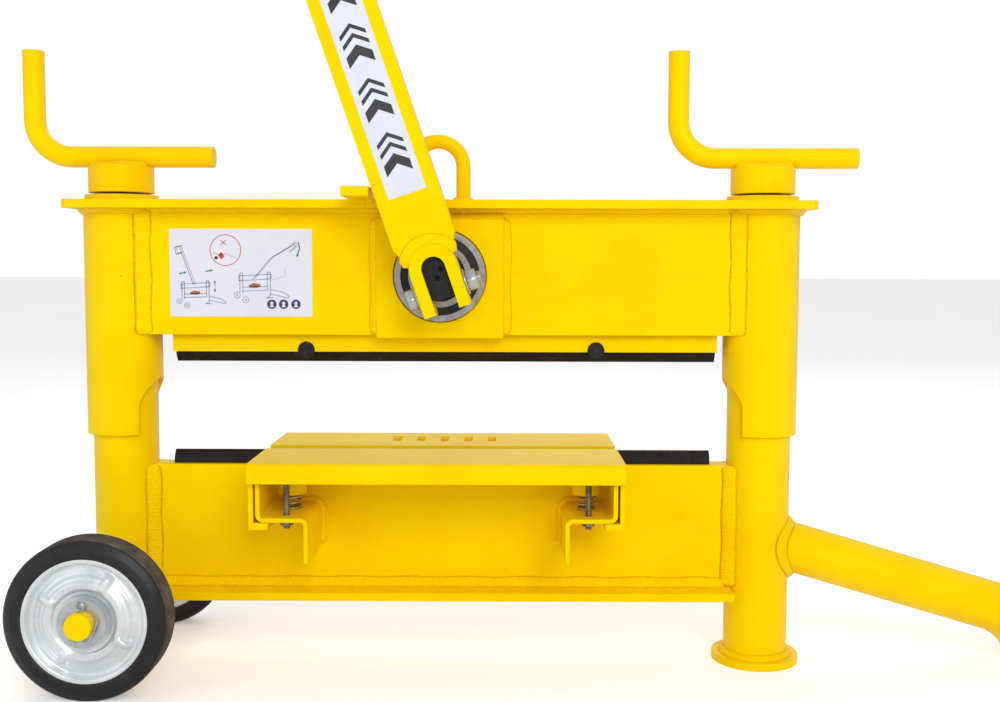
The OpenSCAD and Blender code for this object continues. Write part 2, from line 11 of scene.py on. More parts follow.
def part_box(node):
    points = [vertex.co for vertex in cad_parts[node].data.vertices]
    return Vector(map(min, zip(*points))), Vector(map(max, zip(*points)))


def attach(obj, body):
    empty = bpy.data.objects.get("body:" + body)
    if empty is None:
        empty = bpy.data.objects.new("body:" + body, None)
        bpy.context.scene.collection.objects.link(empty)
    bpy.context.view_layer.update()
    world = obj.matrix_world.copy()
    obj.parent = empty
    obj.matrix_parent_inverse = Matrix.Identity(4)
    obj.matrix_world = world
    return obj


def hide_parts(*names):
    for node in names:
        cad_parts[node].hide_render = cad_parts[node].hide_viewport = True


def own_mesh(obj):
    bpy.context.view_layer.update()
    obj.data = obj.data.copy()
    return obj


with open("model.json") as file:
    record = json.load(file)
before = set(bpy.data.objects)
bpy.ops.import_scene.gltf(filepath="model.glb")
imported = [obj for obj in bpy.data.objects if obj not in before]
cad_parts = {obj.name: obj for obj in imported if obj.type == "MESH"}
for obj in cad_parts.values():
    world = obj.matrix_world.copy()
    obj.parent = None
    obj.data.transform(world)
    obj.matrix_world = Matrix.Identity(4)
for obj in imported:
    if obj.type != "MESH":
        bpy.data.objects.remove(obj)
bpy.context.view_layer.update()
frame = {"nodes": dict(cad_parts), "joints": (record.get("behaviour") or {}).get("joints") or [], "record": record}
NODES = frame["nodes"]
MM = 0.001
random.seed(7)

# ------------------------------------------------------------------ places


def low(node):
    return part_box(node)[0]


def high(node):
    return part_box(node)[1]


def mid(node):
    a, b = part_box(node)
    return (Vector(a) + Vector(b)) / 2


MID_X = mid("lower_blade").x
LEFT_X = mid("left_post").x
RIGHT_X = mid("right_post").x
POST_R = (high("left_post")[0] - low("left_post")[0]) / 2
SLEEVE_R = (high("left_sleeve")[0] - low("left_sleeve")[0]) / 2
JOINTS = {j["name"]: j for j in frame["joints"]}
SHAFT = Vector(JOINTS["lever_swing"]["pos_m"])
LEVER_UP = Vector(JOINTS["lever_extend"]["axis"]).normalized()
LEVER_ACROSS = Vector((LEVER_UP.z, 0, -LEVER_UP.x))
CHANNEL_FRONT = low("lever_channel")[1]
# Sizes of the design that no single node's box gives
STUD_OUT = Vector((172, 100, 0)) * MM
SPRING_Y = 60 * MM
SHELF_TOP = 198 * MM
BRACKET_IN = 145 * MM
BRACKET_BEND = 9 * MM
LEG_ROOT_Z = 152 * MM
LEG_SLOPE = math.radians(16.4)
LEG_R = 30.15 * MM
FORK_OUT = 27.2 * MM
FORK_CROWN = 9 * MM
BOLT_UP = -16 * MM
BOLT_Y = -102 * MM
AXLE = Vector((LEFT_X, 0, mid("front_hub").z))

# ------------------------------------------------------------------ materials


class Graph:
    """A material's nodes, with short calls for the kinds used here."""

    def __init__(self, name):
        self.material = bpy.data.materials.new(name)
        self.material.use_nodes = True
        self.tree = self.material.node_tree
        self.shader = self.tree.nodes["Principled BSDF"]
        self.point = self.tree.nodes.new("ShaderNodeTexCoord").outputs["Object"]

    def node(self, kind, **values):
        n = self.tree.nodes.new(kind)
        for key, value in values.items():
            setattr(n, key, value)
        return n

    def link(self, a, b):
        self.tree.links.new(a, b)

    def noise(self, scale, detail=4.0, rough=0.55, point=None):
        n = self.node("ShaderNodeTexNoise")
        n.inputs["Scale"].default_value = scale
        n.inputs["Detail"].default_value = detail
        n.inputs["Roughness"].default_value = rough
        self.link(point or self.point, n.inputs["Vector"])
        return n.outputs["Fac"]

    def ramp(self, source, stops):
        n = self.node("ShaderNodeValToRGB")
        while len(n.color_ramp.elements) < len(stops):
            n.color_ramp.elements.new(0.5)
        for element, (place, colour) in zip(n.color_ramp.elements, stops):
            element.position = place
            element.color = (*colour, 1.0) if len(colour) == 3 else colour
        self.link(source, n.inputs["Fac"])
        return n.outputs["Color"]

    def span(self, source, to_low, to_high):
        n = self.node("ShaderNodeMapRange")
        n.inputs["From Min"].default_value = 0.3
        n.inputs["From Max"].default_value = 0.7
        n.inputs["To Min"].default_value = to_low
        n.inputs["To Max"].default_value = to_high
        self.link(source, n.inputs["Value"])
        return n.outputs["Result"]

    def mix(self, amount, a, b):
        n = self.node("ShaderNodeMix", data_type="RGBA")
        self.link(amount, n.inputs[0])
        for value, socket in ((a, n.inputs[6]), (b, n.inputs[7])):
            if isinstance(value, tuple):
                socket.default_value = (*value, 1.0)
            else:
                self.link(value, socket)
        return n.outputs[2]

    def set(self, **values):
        for key, value in values.items():
            socket = self.shader.inputs[key.replace("_", " ")]
            if isinstance(value, bpy.types.NodeSocket):
                self.link(value, socket)
            elif isinstance(value, tuple) and len(value) == 3 and key == "Base_Color":
                socket.default_value = (*value, 1.0)
            else:
                socket.default_value = value

    def bump(self, height, strength, distance, round_edge=0.0):
        n = self.node("ShaderNodeBump")
        n.inputs["Strength"].default_value = strength
        n.inputs["Distance"].default_value = distance
        self.link(height, n.inputs["Height"])
        if round_edge:
            edge = self.node("ShaderNodeBevel", samples=4)
            edge.inputs["Radius"].default_value = round_edge
            self.link(edge.outputs["Normal"], n.inputs["Normal"])
        self.link(n.outputs["Normal"], self.shader.inputs["Normal"])


YELLOW = (0.960, 0.655, 0.0)
YELLOW_DEEP = (0.925, 0.605, 0.0)
YELLOW_LIGHT = (0.975, 0.680, 0.0)


def paint_material(name="yellow powder coat", ripple=0.22, ripple_size=420.0,
                   edge=1.3 * MM, depth=0.6 * MM):
    g = Graph(name)
    tone = g.ramp(g.noise(9.0, 3.0), [(0.32, YELLOW_DEEP), (0.5, YELLOW), (0.72, YELLOW_LIGHT)])
    specks = g.ramp(g.noise(240.0, 2.0, 0.5), [(0.0, (0, 0, 0)), (0.775, (0, 0, 0)), (0.80, (1, 1, 1))])
    colour = g.mix(specks, tone, (0.30, 0.20, 0.01))
    g.set(Base_Color=colour, Roughness=g.span(g.noise(60.0, 3.0), 0.33, 0.45))
    g.set(Specular_IOR_Level=0.3, Specular_Tint=(1.0, 0.72, 0.05, 1.0))
    g.bump(g.noise(ripple_size, 2.0), ripple, depth, edge)
    return g.material


def black_steel_material():
    g = Graph("black hardened steel")
    grain = g.noise(85.0, 6.0, 0.6)
    g.set(Base_Color=g.ramp(grain, [(0.3, (0.005, 0.004, 0.004)), (0.62, (0.014, 0.012, 0.012)),
                                    (0.8, (0.05, 0.047, 0.045))]))
    g.set(Specular_IOR_Level=0.25, Roughness=g.span(grain, 0.42, 0.62))
    g.bump(g.noise(500.0, 3.0), 0.3, 0.0004)
    return g.material


def zinc_material(name="bright zinc", tint=(0.60, 0.63, 0.66), dark=(0.42, 0.45, 0.48), rough=0.28):
    g = Graph(name)
    cloud = g.noise(70.0, 5.0, 0.6)
    g.set(Base_Color=g.ramp(cloud, [(0.3, dark), (0.7, tint)]), Metallic=0.9)
    g.set(Roughness=g.span(cloud, rough, rough + 0.14))
    g.bump(g.noise(900.0, 2.0), 0.12, 0.0002)
    return g.material


def galvanised_material():
    g = Graph("galvanised sheet")
    cell = g.node("ShaderNodeTexVoronoi")
    cell.inputs["Scale"].default_value = 190.0
    g.link(g.point, cell.inputs["Vector"])
    cloud = g.noise(26.0, 4.0)
    base = g.ramp(cloud, [(0.3, (0.68, 0.74, 0.76)), (0.7, (0.84, 0.88, 0.90))])
    spangle = g.ramp(cell.outputs["Color"], [(0.0, (0.90, 0.90, 0.90)), (1.0, (1.0, 1.0, 1.0))])
    n = g.node("ShaderNodeMix", data_type="RGBA", blend_type="MULTIPLY")
    n.inputs[0].default_value = 0.55
    g.link(base, n.inputs[6])
    g.link(spangle, n.inputs[7])
    g.set(Base_Color=n.outputs[2], Metallic=0.6, Roughness=g.span(cloud, 0.26, 0.40))
    g.bump(cloud, 0.08, 0.0006)
    return g.material


def rubber_material(name, colour, light, rough):
    g = Graph(name)
    dust = g.noise(38.0, 5.0, 0.6)
    g.set(Base_Color=g.ramp(dust, [(0.42, colour), (0.78, light)]))
    g.set(Roughness=g.span(dust, rough, rough + 0.12), Specular_IOR_Level=0.4)
    g.bump(g.noise(650.0, 3.0), 0.22, 0.0004)
    return g.material


def vinyl_material(name, colour, shade, rough=0.35):
    g = Graph(name)
    haze = g.noise(14.0, 3.0)
    g.set(Base_Color=g.ramp(haze, [(0.3, shade), (0.7, colour)]))
    g.set(Roughness=g.span(g.noise(120.0, 2.0), rough, rough + 0.08), Coat_Weight=0.3)
    g.bump(g.noise(300.0, 2.0), 0.05, 0.0003)
    return g.material


def make_materials():
    return {
        "yellow_paint": paint_material(),
        "weld_paint": paint_material("yellow paint on welds", 0.55, 300.0, 0.0, 2.0 * MM),
        "black_steel": black_steel_material(),
        "zinc_steel": zinc_material(),
        "dark_zinc": zinc_material("dark zinc thread", (0.30, 0.31, 0.27), (0.14, 0.15, 0.13)),
        "galvanised": galvanised_material(),
        "spring_steel": zinc_material("yellow-passivated spring", (0.60, 0.53, 0.34), (0.36, 0.31, 0.18)),
        "bearing_steel": zinc_material("ground bearing steel", (0.50, 0.49, 0.47), (0.33, 0.33, 0.32), 0.22),
        "black_rubber": rubber_material("black rubber", (0.010, 0.010, 0.011), (0.03, 0.03, 0.03), 0.5),
        "tyre_rubber": rubber_material("tyre rubber", (0.006, 0.006, 0.008), (0.018, 0.017, 0.02), 0.38),
        "tread_rubber": rubber_material("dusty tread", (0.045, 0.036, 0.034), (0.16, 0.13, 0.115), 0.6),
        "white_label": vinyl_material("white vinyl", (0.75, 0.77, 0.87), (0.69, 0.71, 0.82)),
        "ink_black": vinyl_material("black print", (0.012, 0.012, 0.016), (0.03, 0.03, 0.035)),
        "ink_grey": vinyl_material("grey print", (0.30, 0.33, 0.45), (0.38, 0.41, 0.52)),
        "ink_navy": vinyl_material("navy print", (0.02, 0.02, 0.09), (0.03, 0.03, 0.12)),
        "ink_red": vinyl_material("red print", (0.62, 0.02, 0.03), (0.5, 0.02, 0.03)),
        "ink_green": vinyl_material("green print", (0.02, 0.28, 0.12), (0.02, 0.22, 0.1)),
        "ink_brown": vinyl_material("brown print", (0.45, 0.13, 0.04), (0.36, 0.1, 0.03)),
    }


MATERIALS = make_materials()

# ------------------------------------------------------------------ mesh helpers


def add_piece(name, verts, faces, material, body, slot, smooth=True, replaces=()):
    mesh = bpy.data.meshes.new(name)
    mesh.from_pydata([tuple(v) for v in verts], [], faces)
    mesh.validate()
    mesh.update()
    for polygon in mesh.polygons:
        polygon.use_smooth = smooth
    obj = bpy.data.objects.new(name, mesh)
    bpy.context.scene.collection.objects.link(obj)
    mesh.materials.append(MATERIALS[material])
    if replaces:
        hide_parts(*replaces)
    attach(obj, body)
    return obj


class Builder:
    """Gathers several shapes into one mesh."""

    def __init__(self):
        self.verts = []
        self.faces = []

    def add(self, verts, faces):
        start = len(self.verts)
        self.verts.extend(Vector(v) for v in verts)
        self.faces.extend(tuple(i + start for i in f) for f in faces)

    def rings(self, rings):
        """Skins a list of equal closed rings of points and caps both ends."""
        n = len(rings[0])
        verts = [p for ring in rings for p in ring]
        faces = []
        for i in range(len(rings) - 1):
            a = i * n
            b = a + n
            for j in range(n):
                k = (j + 1) % n
                faces.append((a + j, a + k, b + k, b + j))
        faces.append(tuple(reversed(range(n))))
        faces.append(tuple(range(len(rings) * n - n, len(rings) * n)))
        self.add(verts, faces)

    def piece(self, name, material, body, slot, **extra):
        return add_piece(name, self.verts, self.faces, material, body, slot, **extra)


def basis(direction, hint=Vector((0, 0, 1))):
    """Two unit vectors across a direction."""
    d = direction.normalized()
    if abs(d.dot(hint)) > 0.98:
        hint = Vector((0, 1, 0))
    u = d.cross(hint).normalized()
    return u, d.cross(u).normalized()


def sweep(builder, path, radius, sides, hint=Vector((0, 1, 0))):
    """A round bar along a path of points."""
    rings = []
    last = len(path) - 1
    for i, p in enumerate(path):
        d = path[min(i + 1, last)] - path[max(i - 1, 0)]
        u, v = basis(d, hint)
        rings.append([p + radius * (math.cos(a) * u + math.sin(a) * v)
                      for a in (2 * math.pi * k / sides for k in range(sides))])
    builder.rings(rings)


def lathe(builder, profile, centre, axis, turns):
    """Revolves a closed loop of (along, radius) points about an axis."""
    u, v = basis(axis)
    d = axis.normalized()
    rings = []
    for i in range(turns):
        a = 2 * math.pi * i / turns
        out = math.cos(a) * u + math.sin(a) * v
        rings.append([centre + d * s + out * r for s, r in profile])
    n = len(profile)
    verts = [p for ring in rings for p in ring]
    faces = []
    for i in range(turns):
        a = i * n
        b = ((i + 1) % turns) * n
        for j in range(n):
            k = (j + 1) % n
            faces.append((a + j, b + j, b + k, a + k))
    builder.add(verts, faces)


# ------------------------------------------------------------------ weld beads

BEAD_STEP = 1.1 * MM
BEAD_PITCH = 4.2 * MM


def weld(builder, path, wall_a, wall_b, leg_a, leg_b=None):
    """A fillet bead in a corner. wall_a and wall_b run away from the corner along its two walls;
    each is a vector or a function of the path's parameter."""
    leg_b = leg_b or leg_a
    points = []
    for i in range(len(path) - 1):
        a, b = path[i], path[i + 1]
        n = max(1, int((b - a).length / BEAD_STEP))
        points += [(a.lerp(b, k / n), (i + k / n) / (len(path) - 1)) for k in range(n)]
    points.append((path[-1], 1.0))
    rings = []
    run = 0.0
    wander = random.uniform(0, 10)
    for i, (p, t) in enumerate(points):
        if i:
            run += (p - points[i - 1][0]).length
        a = (wall_a(t) if callable(wall_a) else wall_a).normalized()
        b = (wall_b(t) if callable(wall_b) else wall_b).normalized()
        scallop = (run / BEAD_PITCH) % 1.0
        size = 0.95 + 0.045 * math.sin(math.pi * scallop) + 0.05 * math.sin(run * 90 + wander)
        size += random.uniform(-0.015, 0.015)
        taper = min(1.0, (i + 0.6) / 4.0, (len(points) - i - 0.4) / 4.0)
        size *= 0.45 + 0.55 * taper
        back = -(a + b) * 0.8 * MM
        ring = [p + back]
        for k in range(6):
            angle = math.pi / 2 * k / 5
            flat = 1 / (math.cos(angle) + math.sin(angle))
            swell = 1 + 0.25 * math.sin(math.pi * scallop)
            reach = size * (flat + 0.085 * math.sin(2 * angle) * swell)
            ring.append(p + a * leg_a * reach * math.cos(angle) + b * leg_b * reach * math.sin(angle)
                        + (back * 0.4 if k in (0, 5) else Vector()))
        rings.append(ring)
    builder.rings(rings)


def arc(centre, radius, start, end, u, v, steps=40):
    """Points on an arc in the plane of u and v, angles in degrees."""
    return [centre + radius * (math.cos(a) * u + math.sin(a) * v)
            for a in (math.radians(start + (end - start) * k / steps) for k in range(steps + 1))]


X, Y, Z = Vector((1, 0, 0)), Vector((0, 1, 0)), Vector((0, 0, 1))


def weld_ring(builder, centre, radius, up, leg):
    """A bead round a vertical bar or tube of that radius, on a face whose open side is up."""
    path = arc(centre, radius, 0, 360, X, Y, 72)

    def outward(t):
        a = 2 * math.pi * t
        return Vector((math.cos(a), math.sin(a), 0))

    weld(builder, path, outward, up, leg)


def weld_web_to_tube(builder, tube_x, tube_r, side, face_y, z0, z1, leg, tube_leg):
    """The upright bead where a web's face meets a round tube. side is +1 where the web is on +X."""
    reach = math.sqrt(tube_r ** 2 - face_y ** 2)
    corner = Vector((tube_x + side * reach, face_y, 0))
    front = math.copysign(1.0, face_y)
    along_tube = Vector((-side * abs(face_y), front * reach, 0))
    weld(builder, [corner + Z * z0, corner + Z * z1], X * side, along_tube, leg, tube_leg)


def lower_welds():
    b = Builder()
    beam_front = low("lower_beam")[1]
    beam_top = high("lower_beam")[2]
    flange_top = high("lower_flange")[2]
    x0 = LEFT_X + POST_R + 4 * MM
    x1 = RIGHT_X - POST_R - 4 * MM
    for y in (beam_front, -beam_front):
        out = Y * math.copysign(1.0, y)
        weld_web_to_tube(b, LEFT_X, POST_R, 1, y, flange_top, beam_top, 13 * MM, 11 * MM)
        weld_web_to_tube(b, RIGHT_X, POST_R, -1, y, flange_top, beam_top, 13 * MM, 11 * MM)
        weld(b, [Vector((x0, y, flange_top)), Vector((x1, y, flange_top))], out, Z, 9 * MM, 12 * MM)
    weld_ring(b, Vector((RIGHT_X, 0, high("foot_plate")[2])), POST_R, Z, 7 * MM)
    bracket_welds(b, beam_front)
    leg_weld(b)
    b.piece("weld_beads_lower", "weld_paint", "lower_frame", "yellow_paint")


def bracket_welds(b, beam_front):
    """Beads where the four Z-brackets meet the beam."""
    (bx0, _, bz0), (bx1, _, _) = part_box("table_brackets")
    turns = 8
    for y in (beam_front, -beam_front):
        out = Y * math.copysign(1.0, y)
        for side, outer in ((1, bx0), (-1, bx1)):
            hang = MID_X - side * BRACKET_IN
            corner = Vector((hang - side * BRACKET_BEND, y, SHELF_TOP - BRACKET_BEND))
            path = [Vector((hang, y, bz0))]
            path += arc(corner, BRACKET_BEND, 0, 90, X * side, Z, turns)
            path.append(Vector((outer + side * 14 * MM, y, SHELF_TOP)))

            def away(t, side=side):
                turn = min(max((t * (turns + 2) - 1) / turns, 0.0), 1.0) * math.pi / 2
                return X * side * math.cos(turn) + Z * math.sin(turn)

            weld(b, path, away, out, 6 * MM)


def leg_weld(b):
    """The bead round the leg's root, along the curve where the two tubes meet."""
    d = Vector((math.cos(LEG_SLOPE), 0, -math.sin(LEG_SLOPE)))
    w = Vector((math.sin(LEG_SLOPE), 0, math.cos(LEG_SLOPE)))
    root = Vector((RIGHT_X, 0, LEG_ROOT_Z))
    path, away = [], []
    steps = 72
    for k in range(steps + 1):
        a = 2 * math.pi * k / steps
        off = LEG_R * (math.cos(a) * w + math.sin(a) * Y)
        along = (math.sqrt(POST_R ** 2 - off.y ** 2) - off.x) / d.x
        path.append(root + off + d * along)
        away.append(off.normalized())

    def off_leg(t):
        i = min(int(t * steps), steps)
        p = path[i] - Vector((RIGHT_X, 0, 0))
        normal = Vector((p.x, p.y, 0)).normalized()
        v = away[i]
        return v - normal * v.dot(normal)

    weld(b, path, d, off_leg, 9 * MM)


def upper_welds():
    b = Builder()
    web_low = low("upper_webs")[2]
    web_high = high("upper_webs")[2]
    web_front = low("upper_webs")[1]
    plate0, plate1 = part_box("bearing_plates")
    for y in (web_front, -web_front):
        out = Y * math.copysign(1.0, y)
        weld_web_to_tube(b, LEFT_X, SLEEVE_R, 1, y, web_low, web_high, 17 * MM, 6 * MM)
        weld_web_to_tube(b, RIGHT_X, SLEEVE_R, -1, y, web_low, web_high, 17 * MM, 6 * MM)
        for x, side in ((plate0[0], -1), (plate1[0], 1)):
            weld(b, [Vector((x, y, web_low)), Vector((x, y, plate1[2]))], X * side, out, 10 * MM)
        weld(b, [Vector((plate0[0], y, plate1[2])), Vector((plate1[0], y, plate1[2]))], Z, out, 8 * MM)
        ends = [Vector((x, y, web_high)) for x in (LEFT_X + SLEEVE_R, RIGHT_X - SLEEVE_R)]
        weld(b, ends, out, -Z, 6 * MM)
    for x in (LEFT_X, RIGHT_X):
        weld_ring(b, Vector((x, 0, web_high)), SLEEVE_R, -Z, 7 * MM)
    eye0, eye1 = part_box("lifting_eye")
    rod = (eye1[1] - eye0[1]) / 2
    for x in (eye0[0] + rod, eye1[0] - rod):
        weld_ring(b, Vector((x, 0, eye0[2])), rod, Z, 7 * MM)
    stop0, stop1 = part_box("lever_stop")
    flange_front = low("top_flange")[1]
    weld(b, [Vector((stop0[0], flange_front, stop0[2])), Vector((stop1[0], flange_front, stop0[2]))],
         -Y, -Z, 6 * MM)
    b.piece("weld_beads_upper", "weld_paint", "upper_frame", "yellow_paint")


def crank_welds():
    for side in ("left", "right"):
        b = Builder()
        x = mid(side + "_spindle").x
        top = low(side + "_crank")[2] + 30 * MM
        half = 34 * MM
        for out in (-Y, Y):
            start = Vector((x - half, 0, top)) + out * 7 * MM
            path = [start, start + X * half, start + X * 2 * half]
            weld(b, path, out, Z + out * 0.25, 17 * MM, 10 * MM)
        b.piece("weld_beads_" + side + "_crank", "weld_paint", side + "_screw", "yellow_paint")


def lever_point(across, up, y):
    return Vector((SHAFT.x, y, SHAFT.z)) + LEVER_ACROSS * across + LEVER_UP * up


def lever_welds():
    b = Builder()
    radius = FORK_OUT - 0.5 * MM
    centre = lever_point(0, FORK_CROWN, CHANNEL_FRONT)
    path = arc(centre, radius, 20, 160, LEVER_ACROSS, LEVER_UP, 40)

    def outward(t):
        a = math.radians(20 + 140 * t)
        return math.cos(a) * LEVER_ACROSS + math.sin(a) * LEVER_UP

    weld(b, path, outward, -Y, 14 * MM, 4 * MM)
    collar0 = 580 * MM
    back = high("lever_channel")[1]
    for side in (-1, 1):
        edge = side * 36 * MM
        weld(b, [lever_point(edge, collar0, back), lever_point(edge, collar0 + 60 * MM, back)],
             LEVER_ACROSS * -side * 0.2 + Y, LEVER_ACROSS * side, 4 * MM, 2 * MM)
    b.piece("weld_beads_lever", "weld_paint", "lever", "yellow_paint")
    b = Builder()
    top = 890 * MM
    y0, y1 = low("lever_extension")[1], high("lever_extension")[1]
    for y, out in ((y0, -Y), (y1, Y)):
        y_bar = (y0 + y1) / 2 + (8.6 * MM if out.y > 0 else -8.6 * MM)
        weld(b, [lever_point(-29 * MM, top, y_bar), lever_point(29 * MM, top, y_bar)],
             out, LEVER_UP, 5 * MM)
    b.piece("weld_beads_handle", "weld_paint", "extension", "yellow_paint")


# ------------------------------------------------------------------ wheels

RIM_R = 71 * MM
TYRE_R = (high("front_tyre")[0] - low("front_tyre")[0]) / 2
TYRE_W = high("front_tyre")[1] - low("front_tyre")[1]
TREAD_RIBS = 6


TREAD_DEPTH = 1.5 * MM
TREAD_HALF = TYRE_W / 2 - 5.0 * MM


def tyre_profile():
    """Closed loop of (along, radius): bead, sidewall with a moulded step, shoulder and casing."""
    half = TYRE_W / 2
    side = [(-half + 1.0 * MM, RIM_R - 1.2 * MM), (-half + 0.4 * MM, RIM_R + 0.4 * MM),
            (-half, RIM_R + 1.6 * MM), (-half, RIM_R + 10.0 * MM), (-half + 0.9 * MM, RIM_R + 11.4 * MM),
            (-half + 1.3 * MM, RIM_R + 12.0 * MM), (-half + 3.6 * MM, TYRE_R - 2.6 * MM),
            (-TREAD_HALF, TYRE_R - 1.2 * MM), (-TREAD_HALF + 0.4 * MM, TYRE_R - TREAD_DEPTH)]
    other = [(-s, r) for s, r in reversed(side)]
    return side + other + [(half - 4 * MM, RIM_R - 1.2 * MM), (-half + 4 * MM, RIM_R - 1.2 * MM)]


def tread_profile():
    """The ribs that run round the tread."""
    ribs = [(TREAD_HALF, TYRE_R - 2.4 * MM), (-TREAD_HALF, TYRE_R - 2.4 * MM)]
    pitch = 2 * TREAD_HALF / TREAD_RIBS
    for i in range(TREAD_RIBS):
        a = -TREAD_HALF + pitch * i
        ribs += [(a + 0.08 * pitch, TYRE_R - TREAD_DEPTH), (a + 0.24 * pitch, TYRE_R - 0.1 * MM),
                 (a + 0.5 * pitch, TYRE_R), (a + 0.76 * pitch, TYRE_R - 0.1 * MM),
                 (a + 0.92 * pitch, TYRE_R - TREAD_DEPTH)]
    return ribs


def rim_height(r, angle):
    """How far the pressed disc stands out at a radius and an angle, from the tyre's face."""
    mm = r / MM
    points = [(21, -3.4), (28, -4.2), (33, -3.6), (38, -1.0), (43, -0.6), (48, -3.6), (54, -7.4),
              (59, -9.4), (62.5, -9.2), (64.4, -3.4), (66, -1.4), (69.6, -1.2), (71.2, -2.4)]
    height = points[-1][1]
    for (r0, h0), (r1, h1) in zip(points, points[1:]):
        if mm <= r1:
            t = max(0.0, (mm - r0) / (r1 - r0))
            t = t * t * (3 - 2 * t)
            height = h0 + (h1 - h0) * t
            break
    across = math.sin(2 * (angle - math.radians(60))) * mm / 2
    along = (mm - 48) / 11
    if abs(along) < 1:
        boss = math.exp(-(across / 4.2) ** 4) * (1 - along ** 4)
        height = height * (1 - boss) + boss * (1.6 - 0.16 * max(0, mm - 44))
    return height * MM


def wheel(side, y_sign):
    body = side + "_wheel"
    centre = Vector((AXLE.x, mid(side + "_tyre").y, AXLE.z))
    b = Builder()
    lathe(b, tyre_profile(), centre, Y, 144)
    b.piece(side + "_wheel_tyre", "tyre_rubber", body, "tyre_rubber", replaces=[side + "_tyre"])
    b = Builder()
    lathe(b, tread_profile(), centre, Y, 144)
    b.piece(side + "_wheel_tread", "tread_rubber", body, "tyre_rubber")
    b = Builder()
    rings, spokes = 44, 192
    sheet = 1.6 * MM
    for face in (-1, 1):
        grid = []
        for depth in (0.0, -sheet):
            for i in range(rings + 1):
                r = (21.6 + (71.0 - 21.6) * i / rings) * MM
                for j in range(spokes):
                    a = 2 * math.pi * j / spokes
                    y = face * (TYRE_W / 2 + rim_height(r, -a * face * y_sign) + depth)
                    grid.append(centre + Vector((r * math.cos(a), y, r * math.sin(a))))
        layer = (rings + 1) * spokes
        faces = []
        for base, flip in ((0, face < 0), (layer, face > 0)):
            for i in range(rings):
                for j in range(spokes):
                    k = (j + 1) % spokes
                    q = [base + i * spokes + j, base + i * spokes + k,
                         base + (i + 1) * spokes + k, base + (i + 1) * spokes + j]
                    faces.append(tuple(q if flip else reversed(q)))
        for i in (0, rings):
            for j in range(spokes):
                k = (j + 1) % spokes
                q = [i * spokes + j, i * spokes + k, layer + i * spokes + k, layer + i * spokes + j]
                flip = (i == 0) == (face > 0)
                faces.append(tuple(q if flip else reversed(q)))
        b.add(grid, faces)
    band = [(-TYRE_W / 2 + 4 * MM, 69.4 * MM), (-TYRE_W / 2 + 4 * MM, 71 * MM),
            (TYRE_W / 2 - 4 * MM, 71 * MM), (TYRE_W / 2 - 4 * MM, 69.4 * MM)]
    lathe(b, band, centre, Y, 144)
    b.piece(side + "_wheel_rim", "galvanised", body, "zinc_steel", replaces=[side + "_rim"])


PIN_RING_R = 2.3 * MM


def split_pins():
    """Ring above the axle end, and two legs bent back round it below."""
    b = Builder()
    r = 15 * MM
    for sign in (-1, 1):
        y = sign * (high("split_pins")[1] - PIN_RING_R)
        c = Vector((AXLE.x, y, AXLE.z))
        wire = 1.15 * MM
        loop = arc(c + Z * (r + 5.2 * MM), 4.4 * MM, -250, 70, X, Z, 28)
        sweep(b, loop, wire, 10)
        for side in (-1, 1):
            gap = X * side * 1.2 * MM
            leg = [c + Z * (r + 1.5 * MM) + gap, c + Z * 4 * MM + gap, c - Z * (r + 0.5 * MM) + gap]
            leg += [c + Vector((side * px * MM, sign * py * MM, pz * MM)) for px, py, pz in (
                (3.0, 0.4, -18.2), (6.5, 0.8, -19.0), (9.8, 1.0, -17.0), (12.6, 1.0, -12.5),
                (15.0, 0.8, -7.0), (17.6, 0.6, -0.5), (19.2, 0.4, 4.5))]
            sweep(b, smooth_path(leg, 6), wire, 10)
    b.piece("axle_split_pins", "zinc_steel", "lower_frame", "zinc_steel", replaces=["split_pins"])


def smooth_path(points, per=6):
    """Catmull-Rom curve through the points."""
    out = []
    for i in range(len(points) - 1):
        p0 = points[max(i - 1, 0)]
        p1, p2 = points[i], points[i + 1]
        p3 = points[min(i + 2, len(points) - 1)]
        for k in range(per):
            t = k / per
            out.append(0.5 * ((2 * p1) + (p2 - p0) * t + (2 * p0 - 5 * p1 + 4 * p2 - p3) * t * t
                              + (3 * p1 - p0 - 3 * p2 + p3) * t ** 3))
    out.append(points[-1])
    return out


# ------------------------------------------------------------------ fasteners and springs


def thread(b, start, axis, length, radius, pitch, depth, sides=28, per_turn=8):
    """A threaded rod: its radius follows a helical ridge."""
    u, v = basis(axis)
    d = axis.normalized()
    rings = []
    steps = int(length / pitch * per_turn)
    for i in range(steps + 1):
        s = length * i / steps
        ring = []
        for j in range(sides):
            a = 2 * math.pi * j / sides
            phase = (s / pitch - j / sides) % 1.0
            ridge = 1 - abs(2 * phase - 1)
            fade = min(1.0, (steps - i) / 5.0)
            rr = radius - depth * (1 - ridge) - depth * 0.6 * (1 - fade)
            ring.append(start + d * s + rr * (math.cos(a) * u + math.sin(a) * v))
        rings.append(ring)
    b.rings(rings)


def hexagon(b, start, axis, across, height):
    """A hexagonal nut or head with chamfered corners."""
    u, v = basis(axis)
    d = axis.normalized()
    corner = across / math.sqrt(3)
    flat = across / 2
    sides = 48
    rings = []
    levels = [(0.0, 0.94), (0.10, 1.06), (0.90, 1.06), (1.0, 0.94)]
    for level, cap in levels:
        ring = []
        for j in range(sides):
            a = 2 * math.pi * j / sides
            local = a % (math.pi / 3) - math.pi / 6
            r = min(flat / math.cos(local), corner if cap > 1 else flat * (0.98 if cap < 1 else 1))
            ring.append(start + d * height * level + r * (math.cos(a) * u + math.sin(a) * v))
        rings.append(ring)
    b.rings(rings)


